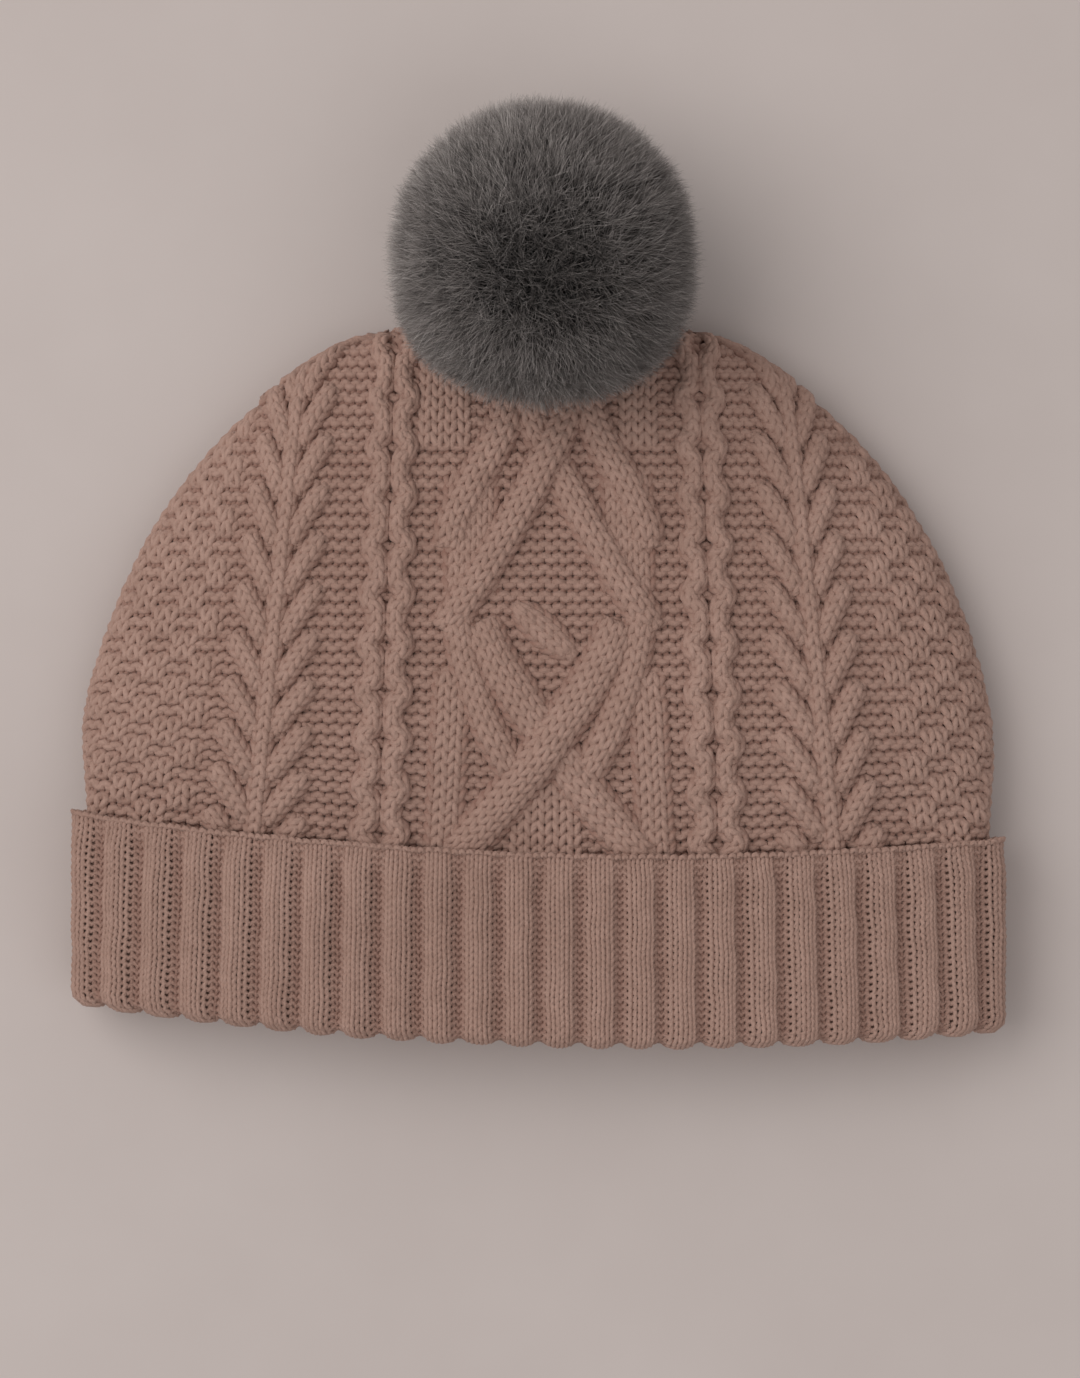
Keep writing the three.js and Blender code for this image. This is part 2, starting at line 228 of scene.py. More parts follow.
class Yarns:
    """Courses of yarn gathered up for one or more pieces."""

    def __init__(self, radius, sides):
        self.radius, self.sides = radius, sides
        self.lines = []

    def add(self, points, normals, depth=0, radius=None):
        # depth is how much painted crevice shade the line gets, from 0 to 1
        shade = np.broadcast_to(np.asarray(depth, float), (len(points),))
        # the lowest yarn lies on the table
        points[:, 2] = np.maximum(points[:, 2], self.radius if radius is None else radius)
        self.lines.append((points, normals, shade, self.radius if radius is None else radius))

    def meshes(self):
        """The lines in lots that each stay under the triangle limit."""
        lot, used = [], 0
        for line in self.lines:
            cost = (len(line[0]) - 1) * self.sides * 2
            if lot and used + cost > MOST_TRIANGLES:
                yield lot
                lot, used = [], 0
            lot.append(line)
            used += cost
        if lot:
            yield lot


def sweep(lines, sides):
    """Tubes round the lines: vertices, quads, and what the shader and the baked map need at each corner."""
    counts = np.array([len(line[0]) for line in lines])
    points = np.concatenate([line[0] for line in lines])
    normals = np.concatenate([line[1] for line in lines])
    shade = np.concatenate([line[2] for line in lines])
    radius = np.concatenate([np.broadcast_to(line[3], (len(line[0]),)) for line in lines]).copy()
    starts = np.concatenate([[0], np.cumsum(counts)[:-1]])
    ends = starts + counts - 1
    ahead, behind = np.roll(points, -1, 0), np.roll(points, 1, 0)
    ahead[ends], behind[starts] = points[ends], points[starts]
    radius[starts] *= 0.3
    radius[ends] *= 0.3
    tangent = unit(ahead - behind)
    beside = unit(np.cross(tangent, normals))
    above = np.cross(beside, tangent)
    angle = np.arange(sides) / sides * 2 * math.pi
    ring = np.cos(angle)[None, :, None] * beside[:, None] + np.sin(angle)[None, :, None] * above[:, None]
    vertices = (points[:, None] + radius[:, None, None] * ring).reshape(-1, 3)
    steps = np.linalg.norm(points - behind, axis=1)
    steps[starts] = 0
    along = np.cumsum(steps)
    along -= np.repeat(along[starts], counts)
    is_end = np.zeros(len(points), bool)
    is_end[ends] = True
    here = np.flatnonzero(~is_end)
    j = np.arange(sides)
    k = (j + 1) % sides
    quads = np.stack(
        [
            here[:, None] * sides + j,
            (here[:, None] + 1) * sides + j,
            (here[:, None] + 1) * sides + k,
            here[:, None] * sides + k,
        ],
        -1,
    ).reshape(-1, 4)
    course = np.repeat(np.arange(len(lines)), counts)
    whole = np.maximum(along[ends], 1e-6)[course]
    low = np.broadcast_to(j / sides, (len(here), sides))
    high = low + 1 / sides
    a = np.broadcast_to(along[here][:, None], low.shape)
    b = np.broadcast_to(along[here + 1][:, None], low.shape)
    w = np.broadcast_to(whole[here][:, None], low.shape)
    c = np.broadcast_to(course[here][:, None], low.shape)
    ply = np.stack([a, low, b, low, b, high, a, high], -1).reshape(-1, 2)
    rows = len(lines)
    bake = np.stack(
        [
            a / w, (c + low) / rows, b / w, (c + low) / rows,
            b / w, (c + high) / rows, a / w, (c + high) / rows,
        ],
        -1,
    ).reshape(-1, 2)
    return vertices, quads, {"ply": ply, "OFBake": bake}, np.repeat(shade, sides)


def new_mesh(name, vertices, faces, uv=None, shade=None):
    """A smooth mesh in the row frame. faces is an array with the same number of corners in every face."""
    mesh = bpy.data.meshes.new(name)
    vertices = to_row(vertices)
    mesh.vertices.add(len(vertices))
    mesh.vertices.foreach_set("co", vertices.astype(np.float32).ravel())
    mesh.loops.add(faces.size)
    mesh.loops.foreach_set("vertex_index", faces.astype(np.int32).ravel())
    mesh.polygons.add(len(faces))
    mesh.polygons.foreach_set("loop_start", np.arange(len(faces), dtype=np.int32) * faces.shape[1])
    mesh.update(calc_edges=True)
    mesh.polygons.foreach_set("use_smooth", np.ones(len(faces), bool))
    for layer, values in (uv or {}).items():
        mesh.uv_layers.new(name=layer).data.foreach_set("uv", values.astype(np.float32).ravel())
    if shade is not None:
        mesh.attributes.new("painted_crevice_shade", "FLOAT", "POINT").data.foreach_set("value", shade.astype(np.float32))
    obj = bpy.data.objects.new(name, mesh)
    bpy.context.scene.collection.objects.link(obj)
    return obj


def dress(obj, body, finish):
    obj.data.materials.append(finish)
    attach(obj, body)
    return obj


def yarn_pieces(name, yarns, body, finish):
    made = []
    for n, lot in enumerate(yarns.meshes()):
        vertices, quads, uv, shade = sweep(lot, yarns.sides)
        made.append(dress(new_mesh(f"{name}_{n + 1}", vertices, quads, uv, shade), body, finish))
    return made


# ---- materials ----


class Finish:
    """A small helper around one node material."""

    def __init__(self, name, **settings):
        self.material = bpy.data.materials.new(name)
        self.material.use_nodes = True
        self.tree = self.material.node_tree
        self.shader = self.tree.nodes["Principled BSDF"]
        self.set(**settings)

    def set(self, **settings):
        for socket, value in settings.items():
            self.shader.inputs[socket.replace("_", " ")].default_value = value

    def node(self, kind, settings=None, **links):
        made = self.tree.nodes.new(kind)
        for key, value in (settings or {}).items():
            setattr(made, key, value)
        for socket, value in links.items():
            numbered = socket[0] == "i" and socket[1:].isdigit()
            place = made.inputs[int(socket[1:]) if numbered else socket]
            if isinstance(value, bpy.types.NodeSocket):
                self.tree.links.new(value, place)
            else:
                place.default_value = value
        return made

    def noise(self, scale, detail=2.0, vector=None, rough=0.6):
        made = self.node("ShaderNodeTexNoise", Scale=scale, Detail=detail, Roughness=rough)
        self.tree.links.new(vector or self.place(), made.inputs["Vector"])
        return made.outputs["Fac"]

    def place(self):
        return self.node("ShaderNodeTexCoord").outputs["Object"]

    def math(self, operation, a, b=0.5):
        return self.node("ShaderNodeMath", {"operation": operation}, i0=a, i1=b).outputs[0]

    def blend(self, share, a, b, kind="MIX"):
        made = self.node("ShaderNodeMix", {"data_type": "RGBA", "blend_type": kind}, i0=share, i6=a, i7=b)
        return made.outputs[2]

    def ramp(self, value, low, high):
        made = self.node("ShaderNodeMapRange", Value=value)
        made.inputs[1].default_value, made.inputs[2].default_value = low, high
        return made.outputs[0]

    def colour(self, socket):
        self.tree.links.new(socket, self.shader.inputs["Base Color"])

    def bump(self, height, distance, strength=1.0, after=None):
        made = self.node("ShaderNodeBump", Height=height, Distance=distance, Strength=strength)
        if after is not None:
            self.tree.links.new(after, made.inputs["Normal"])
        return made.outputs[0]

    def relief(self, socket):
        self.tree.links.new(socket, self.shader.inputs["Normal"])


def rgb(r, g, b):
    return (r, g, b, 1.0)


def wool(name, light, dark, shade_colour, ply_length):
    finish = Finish(name, Roughness=0.92)
    finish.set(Sheen_Weight=0.2, Sheen_Roughness=0.5, Sheen_Tint=rgb(1.0, 0.8, 0.72), Specular_IOR_Level=0.15)
    fibres = finish.noise(1500, 3.0)
    heather = finish.noise(260, 2.0)
    cloud = finish.noise(22, 2.0)
    tone = finish.math("ADD", finish.math("MULTIPLY", fibres, 0.35), finish.math("MULTIPLY", heather, 0.4))
    tone = finish.math("ADD", tone, finish.math("MULTIPLY", cloud, 0.35))
    yarn = finish.blend(finish.ramp(tone, 0.36, 0.74), dark, light)
    # painted shade: the yarn is blended towards a darker colour where it lies low between stitches, at band
    # edges and in rib valleys, by the crevice value set on each point
    painted_crevice_shade = finish.node("ShaderNodeAttribute", {"attribute_name": "painted_crevice_shade"}).outputs["Fac"]
    finish.colour(finish.blend(painted_crevice_shade, yarn, shade_colour))
    uv = finish.node("ShaderNodeUVMap", {"uv_map": "ply"}).outputs[0]
    parts = finish.node("ShaderNodeSeparateXYZ", Vector=uv)
    turn = finish.math("ADD", finish.math("DIVIDE", parts.outputs[0], ply_length), parts.outputs[1])
    wave = finish.math("ABSOLUTE", finish.math("SINE", finish.math("MULTIPLY", turn, 2 * math.pi)))
    plies = finish.bump(wave, 0.00022, 0.55)
    finish.relief(finish.bump(fibres, 0.0005, 0.75, plies))
    return finish.material


def metal():
    finish = Finish("snap_metal", Metallic=1.0, Roughness=0.32)
    wear = finish.noise(420, 3.0)
    finish.colour(finish.blend(finish.ramp(wear, 0.3, 0.7), rgb(0.50, 0.46, 0.38), rgb(0.66, 0.62, 0.54)))
    finish.relief(finish.bump(finish.noise(1400, 2.0), 0.00008, 0.3))
    return finish.material


def plain_fabric(name, light, dark, scale, depth, slot_sheen=0.2):
    finish = Finish(name, Roughness=0.95, Sheen_Weight=slot_sheen)
    grain = finish.noise(scale, 4.0)
    finish.colour(finish.blend(finish.ramp(grain, 0.3, 0.7), dark, light))
    finish.relief(finish.bump(grain, depth, 0.8))
    return finish.material


def satin():
    finish = Finish("satin", Roughness=0.38, Sheen_Weight=0.3)
    lines = finish.node("ShaderNodeTexWave", {"bands_direction": "Y"}, Scale=900.0, Distortion=0.6)
    lines.inputs["Vector"].default_value = (0, 0, 0)
    finish.tree.links.new(finish.place(), lines.inputs["Vector"])
    ribs = lines.outputs["Fac"]
    finish.colour(finish.blend(ribs, rgb(0.78, 0.75, 0.70), rgb(0.9, 0.88, 0.84)))
    finish.relief(finish.bump(ribs, 0.00005, 0.5))
    return finish.material


def fur_finish():
    finish = Finish("faux_fur", Roughness=0.7)
    finish.set(Sheen_Weight=0.12, Sheen_Roughness=0.5, Specular_IOR_Level=0.35)
    tip = finish.node("ShaderNodeAttribute", {"attribute_name": "tip"}).outputs["Fac"]
    # tone gives each strand its own grey, with painted shadow on the right and bottom and painted shade at
    # the parting, set in fur()
    own = finish.node("ShaderNodeAttribute", {"attribute_name": "tone"}).outputs["Fac"]
    pile = finish.blend(own, rgb(0.19, 0.166, 0.156), rgb(0.68, 0.62, 0.595))
    # painted shade: strands run from near-black at the root to the pile colour at the tip, as shade deep in
    # the pile
    finish.colour(finish.blend(finish.ramp(tip, 0.5, 1.0), rgb(0.012, 0.0095, 0.0085), pile))
    return finish.material


def board():
    finish = Finish("pale_board", Roughness=0.8, Specular_IOR_Level=0.3)
    grain = finish.noise(9, 4.0)
    patches = finish.ramp(grain, 0.35, 0.65)
    finish.colour(finish.blend(patches, rgb(0.60, 0.525, 0.50), rgb(0.63, 0.555, 0.53)))
    return finish.material


LIGHT = rgb(0.50, 0.325, 0.268)
DARK = rgb(0.35, 0.215, 0.172)
# painted shade colour for yarn lying deep in crevices
CREVICE_SHADE_COLOUR = rgb(0.26, 0.13, 0.10)
cable_wool = wool("cable_wool", LIGHT, DARK, CREVICE_SHADE_COLOUR, 5.0)
rib_wool = wool("rib_wool", LIGHT, DARK, CREVICE_SHADE_COLOUR, 3.2)
seam_wool = wool("seam_wool", rgb(0.50, 0.35, 0.30), rgb(0.38, 0.26, 0.22), CREVICE_SHADE_COLOUR, 3.0)
# the sheet behind the stitches is the wool's colour, made darker than the yarn as painted shade where it
# shows through the gaps
backing = plain_fabric("knit_ground", rgb(0.36, 0.22, 0.175), rgb(0.28, 0.165, 0.13), 700, 0.0004)
felt = plain_fabric("felt", rgb(0.34, 0.32, 0.31), rgb(0.24, 0.22, 0.21), 1300, 0.0003)
fibre = plain_fabric("filling_fibre", rgb(0.88, 0.87, 0.85), rgb(0.76, 0.75, 0.73), 500, 0.0006)
thread = plain_fabric("thread", rgb(0.42, 0.32, 0.28), rgb(0.28, 0.20, 0.17), 2600, 0.0001)
satin_ribbon = satin()
snap_metal = metal()
pile = fur_finish()


# ---- the crown's knitting ----

# The cables in the middle of the crown cross twice, with a corner on each side between
LATTICE_MIDDLE = 3
HIGH_CROSSING = 150
LOW_CROSSING = 75
CORNER_HEIGHT = 107
CORNER_OUT = 27
LATTICE_TOP = 167
LATTICE_FOOT = 48
SPINES = (-71, 74)
CHAINS = (-40, 45.3)
CENTRE_LEFT, CENTRE_RIGHT = -29, 30
MOSS_LEFT, MOSS_RIGHT = -88, 94
BRANCH_EVERY = 12.6
CHAIN_EVERY = 12.5


def converge(u):
    """How strongly a column leans inwards on its way up."""
    return np.minimum(0.0135 + 0.00135 * np.abs(u), 0.15)


def shrink(u, v):
    return 1 - converge(u) * np.clip((v - CROWN_STRAIGHT_TO) / 82, -0.25, 1.5)


def is_knit(u, v, column, row):
    """The chart under the cables: True for a knit stitch."""
    if u < MOSS_LEFT or u > MOSS_RIGHT:
        return (column // 2 + row // 2) % 2 == 0
    if not CENTRE_LEFT - 3 < u < CENTRE_RIGHT + 3:
        return False
    foot = v < 66 and -7.5 < u < 9.5
    peak = v > 158 and -6 < u < 8
    sides = v > 152 and (u < -19 or u > 20.5)
    return foot or peak or sides


def strand(hand, start, end, late=1, turn=0):
    """A cable's line from start to end, each given as (out from the lattice's middle, up).

    It leans over later on its way with a larger late, and as an S with turn.
    """
    t = np.linspace(0, 1, 9)
    share = mix(t**late, smoothstep(t, 0, 1), turn)
    u = LATTICE_MIDDLE + hand * mix(start[0], end[0], share)
    return np.stack([u, mix(start[1], end[1], t)], -1)


def path_line(knots, step=0.5):
    """A smooth line through the knots, as points at even steps."""
    p = np.array(knots, float)
    p = np.concatenate([[2 * p[0] - p[1]], p, [2 * p[-1] - p[-2]]])
    out = []
    for a, b, c, d in zip(p[:-3], p[1:-2], p[2:-1], p[3:]):
        t = np.linspace(0, 1, 24, endpoint=False)[:, None]
        square = 2 * a - 5 * b + 4 * c - d
        cube = 3 * b - a - 3 * c + d
        out.append(0.5 * (2 * b + (c - a) * t + square * t**2 + cube * t**3))
    line = np.concatenate([*out, [p[-2]]])
    arc = np.concatenate([[0], np.cumsum(np.linalg.norm(np.diff(line, axis=0), axis=1))])
    even = np.linspace(0, arc[-1], max(3, int(arc[-1] / step)))
    return np.stack([np.interp(even, arc, line[:, i]) for i in (0, 1)], -1), even


class Knitter:
    """Knits one crown panel onto its surface."""

    def __init__(self, side, samples, sides):
        self.surface = CrownSurface(side)
        self.side = side
        self.samples = samples
        self.yarns = Yarns(YARN_R, sides)
        heights = np.linspace(47, CROWN_TIP - 2, 400)
        middle = crown_point(np.zeros(400), heights, YARN_INSET, side)
        arc = np.concatenate([[0], np.cumsum(np.linalg.norm(np.diff(middle[:, 1:], axis=0), axis=1))])
        self.rows = np.interp(np.arange(1, arc[-1] / ROW) * ROW, arc, heights)

    def lay(self, u, v, lift, painted_crevice_shade=0, radius=None):
        """Lays a line of yarn whose u is measured before the columns lean inwards."""
        inside = np.clip(u * shrink(u, v), -self.surface.reach(v), self.surface.reach(v))
        points, normals = self.surface(inside * self.side, v, lift)
        self.yarns.add(points, normals, painted_crevice_shade, radius)

    def ground(self):
        for row, height in enumerate(self.rows):
            reach = self.surface.reach(height)
            widest = reach
            for _ in range(4):
                widest = reach / shrink(widest, height)
            half = math.ceil(widest / WALE) + 1  # lay() draws the last stitches in to the side edge
            if half < 1:
                continue
            columns = np.arange(-half, half)
            u = (columns + 0.5) * WALE
            knit = np.array([is_knit(a, height, int(c), row) for a, c in zip(u, columns)])
            kinds = np.where(knit, 1, -1)
            x, y, z = stitch_line(kinds, 2.2, 0.27, 0.5, self.samples)
            flat = x * WALE - half * WALE
            own = np.interp(flat, u, knit.astype(float))
            moss = (flat < MOSS_LEFT) | (flat > MOSS_RIGHT)
            central = (flat > CENTRE_LEFT - 4) & (flat < CENTRE_RIGHT + 4)
            lift = z + own * np.where(moss, 0.55, np.where(central, 0.75, 0)) - np.where(moss, 0.15, 0.3)
            lift = lift + 0.12 * wobble(flat, height + y, 11)
            u_moved = flat + 0.16 * wobble(flat, height + y, 12)
            v_moved = height + y + 0.16 * wobble(flat, height + y, 13)
            # painted shade: stitches that sink lower into the fabric are coloured darker
            painted_crevice_shade = np.clip(0.3 - 0.42 * (lift + 0.25), 0, 0.75)
            self.lay(u_moved, v_moved, lift, painted_crevice_shade)

    def ribbon(self, knots, columns, wale, rise, pitch=3.3, along_rise=None, taper=False):
        """A raised band of knit columns that follows a line, tucked under at both edges."""
        line, arc = path_line(knots)
        if line[0, 1] > line[-1, 1]:
            line = line[::-1]
            arc = arc[-1] - arc[::-1]
        direction = unit(np.gradient(line, axis=0))
        rows = int(arc[-1] / pitch)
        x, y, z = stitch_line(np.ones(columns), 2.35, 0.29, 0.45, self.samples)
        across = x - columns / 2
        # the yarn dives under the band's edges
        ends = columns / 2 + 0.12
        across = np.concatenate([[-ends], across, [ends]])
        y = np.concatenate([[y[0] - 0.3], y, [y[-1] - 0.3]])
        z = np.concatenate([[-1.6], z, [-1.6]])
        for row in range(rows + 1):
            at = np.clip(row * pitch + y, 0, arc[-1])
            centre = np.stack([np.interp(at, arc, line[:, i]) for i in (0, 1)], -1)
            heading = np.stack([np.interp(at, arc, direction[:, i]) for i in (0, 1)], -1)
            beside = np.stack([heading[:, 1], -heading[:, 0]], -1)
            share = at / arc[-1]
            width = np.sqrt(np.clip(np.sin(math.pi * np.clip(share, 0.04, 0.96)), 0.15, 1)) if taper else 1
            spot = centre + beside * (across * wale * width)[:, None]
            crown = 1 - np.abs(across / (columns / 2)) ** 2.6
            extra = along_rise(centre) if along_rise else 0
            to_end = np.minimum(at, arc[-1] - at)
            tuck = 1.1 * np.exp(-((to_end / 1.8) ** 2))
            lift = z + (rise + extra) * np.clip(crown, -0.2, 1) + 0.35 * extra - tuck
            lift = lift + 0.1 * wobble(spot[:, 0], spot[:, 1], 21)
            # painted shade: darker at the band's edges, where the yarn dives under, and where the stitches
            # dip
            painted_crevice_shade = np.clip(0.85 * np.abs(across / (columns / 2)) ** 5 - 0.2 * (z - 0.1), 0, 0.75)
            u = spot[:, 0] + 0.12 * wobble(spot[:, 0], spot[:, 1], 22)
            self.lay(u, spot[:, 1], lift, painted_crevice_shade)

    def lattice(self):
        def hump(height, amount):
            def extra(points):
                gap = np.hypot(points[:, 0] - LATTICE_MIDDLE, points[:, 1] - height)
                return amount * np.exp(-((gap / 8.5) ** 2))

            return extra

        # the right-hand strand is knitted first, so the other passes over it at the top
        for hand, over in ((1, -0.9), (-1, 1.2)):
            self.ribbon(strand(hand, (20.5, 147), (20.5, 115)), 5, 2.9, 0.9)
            self.ribbon(strand(hand, (25, 97), (27, LATTICE_FOOT)), 3, 3.2, 0.9)
            self.ribbon(strand(hand, (10, LATTICE_TOP), (26, 128), turn=1), 3, 3.1, 2.1)
            self.ribbon(strand(hand, (24, 115), (9, 70), late=1.9), 3, 2.75, 1.9)
            corner = (CORNER_OUT, CORNER_HEIGHT)
            high = strand(hand, (-6, LATTICE_TOP), corner, late=1.25)
            self.ribbon(high, 3, 3.0, 2.5, along_rise=hump(HIGH_CROSSING, over))
        # and the left-hand one goes under at the bottom
        for hand, over in ((-1, -0.8), (1, 1.4)):
            low = strand(hand, (18, CORNER_HEIGHT + 1), (-24, LATTICE_FOOT), late=1.2)
            self.ribbon(low, 4, 2.75, 2.4, along_rise=hump(LOW_CROSSING, over))
        self.ribbon(strand(1, (-9, 113), (6, 100)), 3, 2.9, 1.7, pitch=2.9, taper=True)

    def chains(self):
        top = CROWN_TIP - 9
        v = np.arange(48, top, 1.0)
        for centre in CHAINS:
            for hand in (-1, 1):
                swing = np.clip(np.cos(2 * math.pi * (v - 53) / CHAIN_EVERY), 0, 1) ** 0.8
                u = centre + hand * (2.55 + 2.5 * swing)
                self.ribbon(np.stack([u, v], -1), 2, 2.6, 2.0, pitch=3.1)

    def leaves(self):
        top = CROWN_TIP - 16
        for spine in SPINES:
            self.ribbon([(spine, 48), (spine, 90), (spine, 130), (spine, top)], 2, 2.7, 1.7)
            for n in range(-1, int((top - 50) / BRANCH_EVERY)):
                base = 53.5 + n * BRANCH_EVERY
                for hand in (-1, 1):
                    t = np.linspace(0, 1, 6)
                    knots = np.stack([spine + hand * (2.6 + 9 * t**1.2), base + 14 * t], -1)
                    knots = knots[knots[:, 1] > 47]
                    if len(knots) > 2:
                        self.ribbon(knots, 2, 2.9, 1.9, pitch=3.0)

    def knit(self):
        self.ground()
        self.leaves()
        self.chains()
        self.lattice()


def thin_panel(name, grid_outer, grid_inner):
    """A closed thin sheet between two grids of points of the same size."""
    rows, columns = grid_outer.shape[:2]
    vertices = np.concatenate([grid_outer.reshape(-1, 3), grid_inner.reshape(-1, 3)])
    base = rows * columns

    def index(layer, r, c):
        return layer * base + r * columns + c

    faces = []
    for r in range(rows - 1):
        for c in range(columns - 1):
            faces.append((index(0, r, c), index(0, r, c + 1), index(0, r + 1, c + 1), index(0, r + 1, c)))
            faces.append((index(1, r, c + 1), index(1, r, c), index(1, r + 1, c), index(1, r + 1, c + 1)))
    for c in range(columns - 1):
        faces.append((index(0, 0, c + 1), index(0, 0, c), index(1, 0, c), index(1, 0, c + 1)))
        top = rows - 1
        faces.append((index(0, top, c), index(0, top, c + 1), index(1, top, c + 1), index(1, top, c)))
    for r in range(rows - 1):
        faces.append((index(0, r, 0), index(0, r + 1, 0), index(1, r + 1, 0), index(1, r, 0)))
        end = columns - 1
        faces.append((index(0, r + 1, end), index(0, r, end), index(1, r, end), index(1, r + 1, end)))
    return new_mesh(name, vertices, np.array(faces))


def crown_ground(name, side):
    theta = np.linspace(-math.pi / 2, math.pi / 2, 61)
    rise = np.sin(np.linspace(0, math.pi / 2, 34))
    grids = []
    for inset in (3.2, 3.9):
        arc = CROWN_STRAIGHT_TO + (CROWN_ARC_HEIGHT - inset) * rise
        heights = np.concatenate([np.linspace(CROWN_BOTTOM, CROWN_STRAIGHT_TO, 6)[:-1], arc])
        grids.append(np.stack([crown_point(theta, np.full_like(theta, h), inset, side) for h in heights]))
    return thin_panel(name, *grids)


def crown_panel(name, node, side, samples, sides):
    knitter = Knitter(side, samples, sides)
    knitter.knit()
    ground = dress(crown_ground(f"{name}_ground", side), "hat", backing)
    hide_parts(node)
    yarn = yarn_pieces(f"{name}_yarn", knitter.yarns, "hat", cable_wool)


crown_panel("crown_front", "crown_front_panel", 1, 12, 6)
crown_panel("crown_back", "crown_back_panel", -1, 8, 5)


# ---- the rib cuff ----

RIBS = 48
KNIT_WALES, PURL_WALES = 3, 2
RIB_WALES = KNIT_WALES + PURL_WALES
KNIT_SHARE = 0.65  # of a rib repeat's width


def cuff_point(angle, inset, y):
    above = np.sin(angle) >= 0
    exponent = np.where(above, 2 / 2.6, 2 / 4)
    x = (CUFF_HALF_WIDTH - inset) * signed_power(np.cos(angle), exponent)
    half = CUFF_MID - inset + np.where(above, 0, FLAT_EXTRA)
    z = CUFF_MID + half * signed_power(np.sin(angle), exponent)
    return np.stack([x, y + bow(x, y), np.maximum(inset, z)], -1)


def angle_table():
    angle = np.linspace(0, 2 * math.pi, 4001)
    line = cuff_point(angle, np.full_like(angle, CUFF_YARN_INSET), np.zeros_like(angle) + 200)
    arc = np.concatenate([[0], np.cumsum(np.linalg.norm(np.diff(line, axis=0), axis=1))])
    return angle, arc / arc[-1], arc[-1]


ANGLES, ROUND_SHARE, ROUND_LENGTH = angle_table()


def rib_place(wale):
    """Wale number to the share of a rib repeat's width: purl wales draw in."""
    repeat = np.floor(wale / RIB_WALES)
    inside = wale - repeat * RIB_WALES
    width = np.interp(inside, [0, KNIT_WALES, RIB_WALES], [0, KNIT_SHARE, 1])
    return repeat + width


def rib_height(wale, relief):
    """A rib's rounded ridge, the same on both sides of its middle."""
    off = np.mod(wale - KNIT_WALES / 2 + RIB_WALES / 2, RIB_WALES) - RIB_WALES / 2
    ridge = np.cos(np.clip(np.abs(off) / (KNIT_WALES / 2 + 0.55), 0, 1) * math.pi / 2)
    return (1.75 * ridge**0.75 - 0.85) * relief


def rib_lean(angle, height):
    """The ribs lean in a little towards the top, most near the side folds."""
    from_side = smoothstep(np.abs(np.sin(angle)), 0, 0.3)  # none at the side folds, where the halves meet
    tilt = np.sign(np.sin(angle)) * signed_power(np.cos(angle), 1.5) * from_side
    return 0.036 * (0.4 - height / CUFF_HEIGHT) * tilt


def turn_up_profile():
    """From the cast-off edge down the outer face, round the fold and up behind it: inset and y."""
    fold_in, fold_mid, fold_y = 2.55, 4.15, 4.4
    turn = np.linspace(math.pi, 2 * math.pi, 17)
    ring = [(fold_mid + fold_in * math.cos(t), fold_y + 0.9 * fold_in * math.sin(t)) for t in turn]
    down = [(CUFF_YARN_INSET, y) for y in np.linspace(CUFF_HEIGHT + 0.6, fold_y, 60)[:-1]]
    return np.array(down + ring)


def inner_band_profile():
    return np.array([(RIB_INSET + 1.5, y) for y in np.linspace(49.6, 5.2, 60)])


def rib_yarns(profile, samples, sides, radius, relief=1.0):
    """Rows of rib stitches round the hat, half a round at a time: front first, then back."""
    arc = np.concatenate([[0], np.cumsum(np.linalg.norm(np.diff(profile, axis=0), axis=1))])
    slope = unit(np.gradient(profile, axis=0))
    out = np.stack([slope[:, 1], -slope[:, 0]], -1)  # away from the ply, in inset and y
    halves = []
    wales = RIBS * RIB_WALES
    for start in (0, wales // 2):
        yarns = Yarns(radius, sides)
        columns = np.arange(start, start + wales // 2)
        kinds = np.where(columns % RIB_WALES < KNIT_WALES, 1, -1)
        x, y, z = stitch_line(kinds, 1.3, 0.2, 0.26, samples)
        wale = x + start
        share = rib_place(wale) / RIBS
        for row in range(int(arc[-1] / CUFF_ROW)):
            mid = 0.9 + row * CUFF_ROW
            at = np.clip(mid - y, 0, arc[-1])
            pinch = smoothstep(at, 0.5, 7.5)
            inset = np.interp(at, arc, profile[:, 0])
            height = np.interp(at, arc, profile[:, 1])
            away = np.stack([np.interp(at, arc, out[:, i]) for i in (0, 1)], -1)
            lift = z + rib_height(wale, relief * (0.25 + 0.75 * pinch))
            lift = lift + 0.12 * wobble(share * ROUND_LENGTH, at, 31, 1.2)
            moved = share + 0.14 * wobble(share * ROUND_LENGTH, at, 32, 1.2) / ROUND_LENGTH
            angle = np.interp(np.mod(moved, 1), ROUND_SHARE, ANGLES)
            angle = angle - rib_lean(angle, height)
            angle = np.where((start > 0) & (moved >= 1), 2 * math.pi - 1e-6, angle)
            angle = np.where((start == 0) & (moved < 0), 0, angle)
            points = cuff_point(angle, inset + away[:, 0] * lift, height + away[:, 1] * lift)
            deeper = cuff_point(angle, inset + away[:, 0] * (lift + 1), height + away[:, 1] * (lift + 1))
            # painted shade: yarn sunk low in the valleys between ribs is coloured darker
            painted_crevice_shade = np.clip(0.12 - 0.36 * (lift - 0.15), 0, 0.8)
            yarns.add(points, unit(deeper - points), painted_crevice_shade)
        halves.append(yarns)
    return halves


